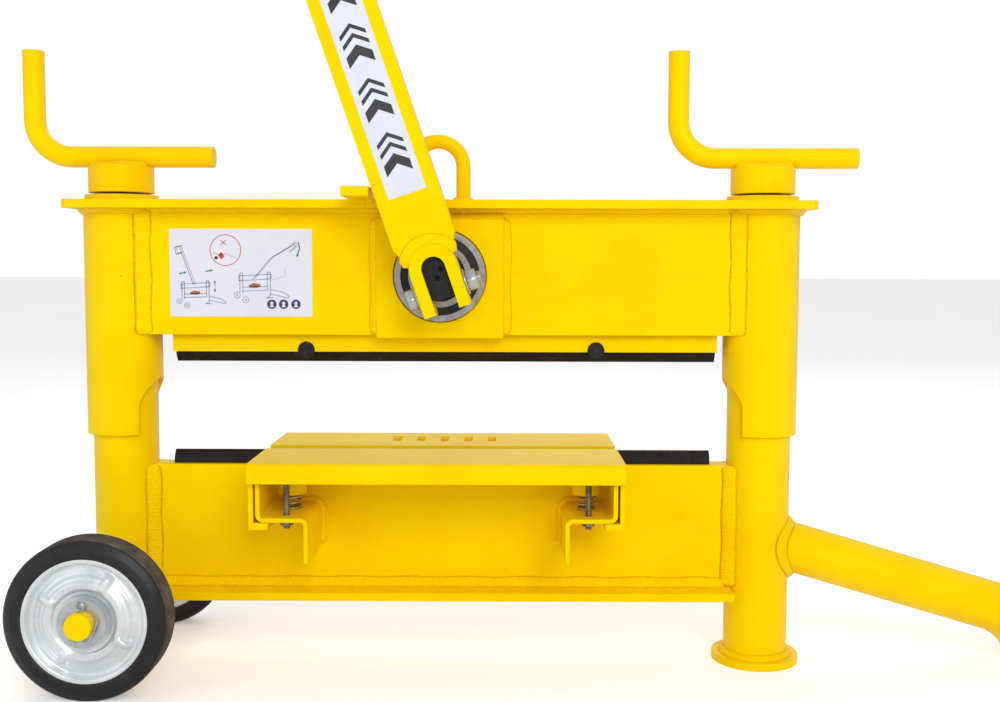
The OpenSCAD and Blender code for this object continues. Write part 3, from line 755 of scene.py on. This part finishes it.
def table_hardware():
    for sign, side in ((-1, "front"), (1, "back")):
        b = Builder()
        for x_sign in (-1, 1):
            x = MID_X + x_sign * STUD_OUT.x
            y = sign * STUD_OUT.y
            z0, z1 = low("table_studs")[2], high("table_studs")[2]
            thread(b, Vector((x, y, z0)), Z, z1 - z0, 4.0 * MM, 2.2 * MM, 0.9 * MM)
            hexagon(b, Vector((x, y, z0 + 3.5 * MM)), Z, 13 * MM, 6.5 * MM)
        extra = {"replaces": ["table_studs"]} if side == "front" else {}
        b.piece(side + "_stop_studs", "dark_zinc", "lower_frame", "zinc_steel", **extra)
        b = Builder()
        z0, z1 = low(side + "_table_springs")[2], high(side + "_table_springs")[2]
        wire = 1.2 * MM
        coil_r = 9.8 * MM
        turns = 9.5
        for x_sign in (-1, 1):
            x = MID_X + x_sign * STUD_OUT.x
            path = []
            steps = int(turns * 26)
            for i in range(steps + 1):
                t = i / steps
                ends = 0.09
                lift = 0 if t < ends else 1 if t > 1 - ends else (t - ends) / (1 - 2 * ends)
                lift = (lift * (z1 - z0 - 4.6 * MM) + 2.2 * MM * t) + 1.2 * MM
                a = 2 * math.pi * turns * t
                path.append(Vector((x + coil_r * math.cos(a), sign * SPRING_Y + coil_r * math.sin(a),
                                    z0 + lift)))
            sweep(b, path, wire, 10, hint=Z)
        spring = b.piece(side + "_coil_springs", "spring_steel", "lower_frame", "spring_steel",
                         replaces=[side + "_table_springs"])
        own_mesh(spring)


def fork_hardware():
    """Cross bolt through the fork and the shaft, with a washer under its head and nut."""
    b = Builder()
    washer = 2.6 * MM
    seat = FORK_OUT + 0.1 * MM
    ring = [(0, 8.4 * MM), (washer, 8.4 * MM), (washer, 14.5 * MM), (0, 14.5 * MM)]
    thread(b, lever_point(-seat, BOLT_UP, BOLT_Y), LEVER_ACROSS, seat + 46.5 * MM,
           8.0 * MM, 2.0 * MM, 1.1 * MM)
    hexagon(b, lever_point(-seat - washer - 10 * MM, BOLT_UP, BOLT_Y), LEVER_ACROSS, 23 * MM, 10 * MM)
    lathe(b, ring, lever_point(-seat - washer, BOLT_UP, BOLT_Y), LEVER_ACROSS, 48)
    b.piece("lever_cross_bolt", "zinc_steel", "lever", "zinc_steel", replaces=["fork_bolt"])
    b = Builder()
    hexagon(b, lever_point(seat + washer, BOLT_UP, BOLT_Y), LEVER_ACROSS, 23 * MM, 12 * MM)
    lathe(b, ring, lever_point(seat, BOLT_UP, BOLT_Y), LEVER_ACROSS, 48)
    b.piece("lever_cross_nut", "zinc_steel", "lever", "zinc_steel", replaces=["fork_nut"])


# ------------------------------------------------------------------ labels

PRINT = 0.12 * MM


def flat_shape(b, outline, place, out):
    """A thin raised shape: outline points are (a, b), placed by place() and facing out."""
    front = [place(*p) + out * PRINT for p in outline]
    back = [place(*p) - out * PRINT for p in outline]
    n = len(outline)
    faces = [tuple(range(n)), tuple(reversed(range(n, 2 * n)))]
    faces += [(i, n + i, n + (i + 1) % n, (i + 1) % n) for i in range(n)]
    b.add(front + back, faces)


def stroke(b, points, width, place, out):
    """A line of that width through the points, one bar for each stretch."""
    for (ax, ay), (bx, by) in zip(points, points[1:]):
        dx, dy = bx - ax, by - ay
        size = math.hypot(dx, dy) or 1.0
        nx, ny = -dy / size * width / 2, dx / size * width / 2
        flat_shape(b, [(ax + nx, ay + ny), (ax - nx, ay - ny), (bx - nx, by - ny), (bx + nx, by + ny)],
                   place, out)


def disc(b, cx, cy, r, place, out, hole=0.0, steps=28):
    ring = [(math.cos(2 * math.pi * k / steps), math.sin(2 * math.pi * k / steps)) for k in range(steps)]
    if hole:
        for k in range(steps):
            (c0, s0), (c1, s1) = ring[k], ring[(k + 1) % steps]
            flat_shape(b, [(cx + r * c0, cy + r * s0), (cx + hole * c0, cy + hole * s0),
                           (cx + hole * c1, cy + hole * s1), (cx + r * c1, cy + r * s1)], place, out)
    else:
        flat_shape(b, [(cx + r * c, cy + r * s) for c, s in ring], place, out)


def machine_sketch(inks, place, out, ox, oy, k, lever):
    """A small line drawing of the machine: wheels, frame, leg, blade gap and lever."""
    grey = inks["ink_grey"]

    def line(points, width=1.15):
        stroke(grey, [(ox + k * a, oy + k * c) for a, c in points], width, place, out)

    for wx, wy in ((2, 3), (11, -2)):
        disc(grey, ox + k * wx, oy + k * wy, k * 3.6, place, out, k * 2.7)
        disc(grey, ox + k * wx, oy + k * wy, k * 1.2, place, out)
    line([(5, 6), (5, 26), (8, 26), (8, 5)])
    line([(34, 8), (34, 27), (37, 27), (37, 2), (33, 0), (40, 0)])
    line([(4, 23), (38, 25), (38, 20), (4, 18), (4, 23)])
    line([(8, 11), (34, 12)])
    line([(8, 7), (34, 8)])
    line([(37, 9), (50, 6), (57, 2), (56, 0), (37, 4)])
    line(lever, 1.3)
    line([(a + 2.2, c + 0.8) for a, c in lever], 0.8)
    flat = [(14, 13), (19, 15.5), (26, 14.5), (27, 12), (22, 10.5), (15, 11)]
    flat_shape(inks["ink_brown"], [(ox + k * a, oy + k * c) for a, c in flat], place, out)


def arrow(b, points, width, head, place, out):
    stroke(b, points, width, place, out)
    (ax, ay), (bx, by) = points[-2], points[-1]
    size = math.hypot(bx - ax, by - ay)
    dx, dy = (bx - ax) / size, (by - ay) / size
    flat_shape(b, [(bx + dx * head, by + dy * head), (bx - dy * head * 0.6, by + dx * head * 0.6),
                   (bx + dy * head * 0.6, by - dx * head * 0.6)], place, out)


def rounded_plate(name, place, out, w, h, r, body, replaced):
    """The sticker itself, with rounded corners."""
    outline = []
    for cx, cy, start in ((w - r, h - r, 0), (r, h - r, 90), (r, r, 180), (w - r, r, 270)):
        for k in range(7):
            a = math.radians(start + 15 * k)
            outline.append((cx + r * math.cos(a), cy + r * math.sin(a)))
    b = Builder()
    n = len(outline)
    front = [place(*p) for p in outline]
    back = [place(*p) - out * 0.48 * MM for p in outline]
    b.add(front + back, [tuple(range(n)), tuple(reversed(range(n, 2 * n)))]
          + [(i, n + i, n + (i + 1) % n, (i + 1) % n) for i in range(n)])
    b.piece(name, "white_label", body, "white_label", smooth=False, replaces=[replaced])


def instruction_label():
    (x0, y0, z0), (x1, _, z1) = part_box("instruction_label")
    out = -Y

    def place(a, c):
        return Vector((x0 + a * MM, y0, z0 + c * MM))

    rounded_plate("instruction_sticker", place, out, (x1 - x0) / MM, (z1 - z0) / MM, 1.0,
                  "upper_frame", "instruction_label")
    names = ("ink_grey", "ink_navy", "ink_red", "ink_green", "ink_brown", "ink_black")
    inks = {k: Builder() for k in names}
    machine_sketch(inks, place, out, 9, 15, 1.0, [(19, 22), (5, 60), (3, 68), (-3, 66), (-1, 58), (5, 60)])
    machine_sketch(inks, place, out, 77, 22, 1.12,
                   [(19, 20), (38, 42), (60, 55), (62, 58), (64, 54), (57, 48)])
    disc(inks["ink_red"], 66, 78, 18.5, place, out, 17.6, 48)
    stroke(inks["ink_red"], [(60, 90), (67, 84)], 0.8, place, out)
    stroke(inks["ink_red"], [(60, 84), (67, 90)], 0.8, place, out)
    flat_shape(inks["ink_red"], [(57, 72), (61, 76), (65, 71), (61, 67)], place, out)
    disc(inks["ink_black"], 55, 69, 2.0, place, out)
    stroke(inks["ink_grey"], [(52, 75), (58, 73), (66, 74), (78, 69)], 0.8, place, out)
    arrow(inks["ink_green"], [(11, 50), (17, 51.5)], 1.6, 3.0, place, out)
    arrow(inks["ink_green"], [(42, 53), (48, 54)], 1.6, 3.0, place, out)
    arrow(inks["ink_black"], [(53, 36), (53, 40)], 0.8, 2.4, place, out)
    arrow(inks["ink_black"], [(53, 34), (53, 31)], 0.8, 2.4, place, out)
    arrow(inks["ink_green"], [(152, 88), (153.5, 80), (151, 73)], 1.6, 3.4, place, out)
    stroke(inks["ink_grey"], [(118, 42), (136, 48), (137, 58)], 0.4, place, out)
    for cx in (120, 134, 148.5):
        disc(inks["ink_navy"], cx, 14.5, 5.6, place, out)
    marks = Builder()

    def on_top(a, c):
        return place(a, c) + out * PRINT

    for cx in (120, 134, 148.5):
        disc(marks, cx, 15.6, 1.9, on_top, out)
        flat_shape(marks, [(cx - 2.6, 11.2), (cx + 2.6, 11.2), (cx + 1.4, 13.6), (cx - 1.4, 13.6)],
                   on_top, out)
    marks.piece("sticker_marks_white", "white_label", "upper_frame", "white_label", smooth=False)
    for ink, builder in inks.items():
        builder.piece("sticker_" + ink, ink, "upper_frame", "white_label", smooth=False)


def lever_label():
    y = low("lever_label")[1]
    z0 = 96 * MM
    length, width = 464.0, 44.0
    out = -Y

    def place(a, c):
        return lever_point((a - width / 2) * MM, z0 + c * MM, y)

    rounded_plate("lever_sticker", place, out, width, length, 1.0, "lever", "lever_label")
    b = Builder()
    top = 24.0
    while top < length - 40:
        for rise, tall in ((0, 12), (20, 5), (31, 5)):
            base = top + rise
            flat_shape(b, [(7, base), (22, base + 11), (37, base), (37, base + tall),
                           (22, base + 11 + tall), (7, base + tall)], place, out)
        top += 62
    b.piece("lever_sticker_chevrons", "ink_black", "lever", "white_label", smooth=False)


# ------------------------------------------------------------------ CAD nodes

SOFT_EDGE = {
    "foot_plate": 1.5, "leg_end_pad": 1.5, "lever_stop": 1.0, "handle_grip": 2.0,
    "lower_flange": 1.2,
}


def finish_cad_nodes():
    slots = {s["node"]: s["material_slot"] for s in frame["record"]["subparts"]}
    for name, obj in NODES.items():
        material = MATERIALS[slots[name]]
        if not obj.material_slots:
            obj.data.materials.append(material)
        for s in obj.material_slots:
            s.material = material
        if name in SOFT_EDGE:
            soften(obj, SOFT_EDGE[name] * MM)


def soften(obj, width):
    """Rounds a CAD node's sharp edges with modifiers; its own mesh stays as it is."""
    weld_mod = obj.modifiers.new("join corners", "WELD")
    weld_mod.merge_threshold = 0.00001
    bevel = obj.modifiers.new("soft edges", "BEVEL")
    bevel.width = width
    bevel.segments = 3
    bevel.limit_method = "ANGLE"
    bevel.angle_limit = math.radians(38)
    bevel.harden_normals = True
    bevel.use_clamp_overlap = True


# ------------------------------------------------------------------ studio


SKY = 0.6


def studio():
    world = bpy.data.worlds.new("studio")
    bpy.context.scene.world = world
    world.use_nodes = True
    tree = world.node_tree
    background = tree.nodes["Background"]
    background.inputs["Color"].default_value = (1.0, 1.0, 1.0, 1.0)
    seen = tree.nodes.new("ShaderNodeLightPath").outputs["Is Camera Ray"]
    level = tree.nodes.new("ShaderNodeMapRange")
    level.inputs["To Min"].default_value = SKY
    level.inputs["To Max"].default_value = 1.0
    tree.links.new(seen, level.inputs["Value"])
    tree.links.new(level.outputs["Result"], background.inputs["Strength"])
    mesh = bpy.data.meshes.new("floor")
    size = 40.0
    mesh.from_pydata([(-size, -size, 0), (size, -size, 0), (size, size, 0), (-size, size, 0)], [],
                     [(0, 1, 2, 3)])
    floor = bpy.data.objects.new("floor", mesh)
    bpy.context.scene.collection.objects.link(floor)
    g = Graph("pale floor")
    g.set(Base_Color=g.ramp(g.noise(1.2, 2.0), [(0.3, (0.93, 0.93, 0.93)), (0.7, (0.95, 0.95, 0.95))]))
    seen_floor = g.node("ShaderNodeLightPath").outputs["Is Camera Ray"]
    lift = g.node("ShaderNodeMath", operation="MULTIPLY")
    lift.inputs[1].default_value = 0.3
    g.link(seen_floor, lift.inputs[0])
    g.set(Roughness=0.9, Specular_IOR_Level=0.0)
    g.set(Emission_Color=(1.0, 1.0, 1.0, 1.0), Emission_Strength=lift.outputs[0])
    mesh.materials.append(g.material)
    for name, place, aim, size, power in (
        ("key", (0.8, -3.1, 1.9), (0, 0, 0.4), 1.5, 50),
        ("fill", (-2.6, -2.2, 1.3), (0, 0, 0.4), 2.4, 12),
        ("rim", (0.4, 2.6, 2.8), (0, 0, 0.6), 2.0, 30),
    ):
        light = bpy.data.lights.new(name, "AREA")
        light.shape = "SQUARE"
        light.size = size
        light.energy = power
        obj = bpy.data.objects.new(name, light)
        obj.location = place
        obj.rotation_euler = (Vector(aim) - Vector(place)).to_track_quat("-Z", "Y").to_euler()
        bpy.context.scene.collection.objects.link(obj)
    bpy.context.scene.view_settings.view_transform = "Standard"


CAMERA_FROM_BLADE = Vector((0.0768, -1.4129, 0.4838))
CAMERA_PITCH = 4.25
CAMERA_YAW = 0.26
CAMERA_ROLL = 0.14
FOCAL_MM = 42.05


def camera():
    data = bpy.data.cameras.new("camera")
    data.sensor_width = 36.0
    data.lens = FOCAL_MM
    data.clip_end = 60.0
    obj = bpy.data.objects.new("camera", data)
    bpy.context.scene.collection.objects.link(obj)
    obj.location = Vector((MID_X, 0, 0)) + CAMERA_FROM_BLADE
    turn = (Matrix.Rotation(math.radians(CAMERA_YAW), 3, "Z")
            @ Matrix.Rotation(math.radians(90 - CAMERA_PITCH), 3, "X")
            @ Matrix.Rotation(math.radians(CAMERA_ROLL), 3, "Z"))
    obj.rotation_euler = turn.to_euler()
    bpy.context.scene.camera = obj


camera()
studio()
finish_cad_nodes()
lower_welds()
upper_welds()
crank_welds()
lever_welds()
wheel("front", 1)
wheel("back", -1)
split_pins()
table_hardware()
fork_hardware()
instruction_label()
lever_label()
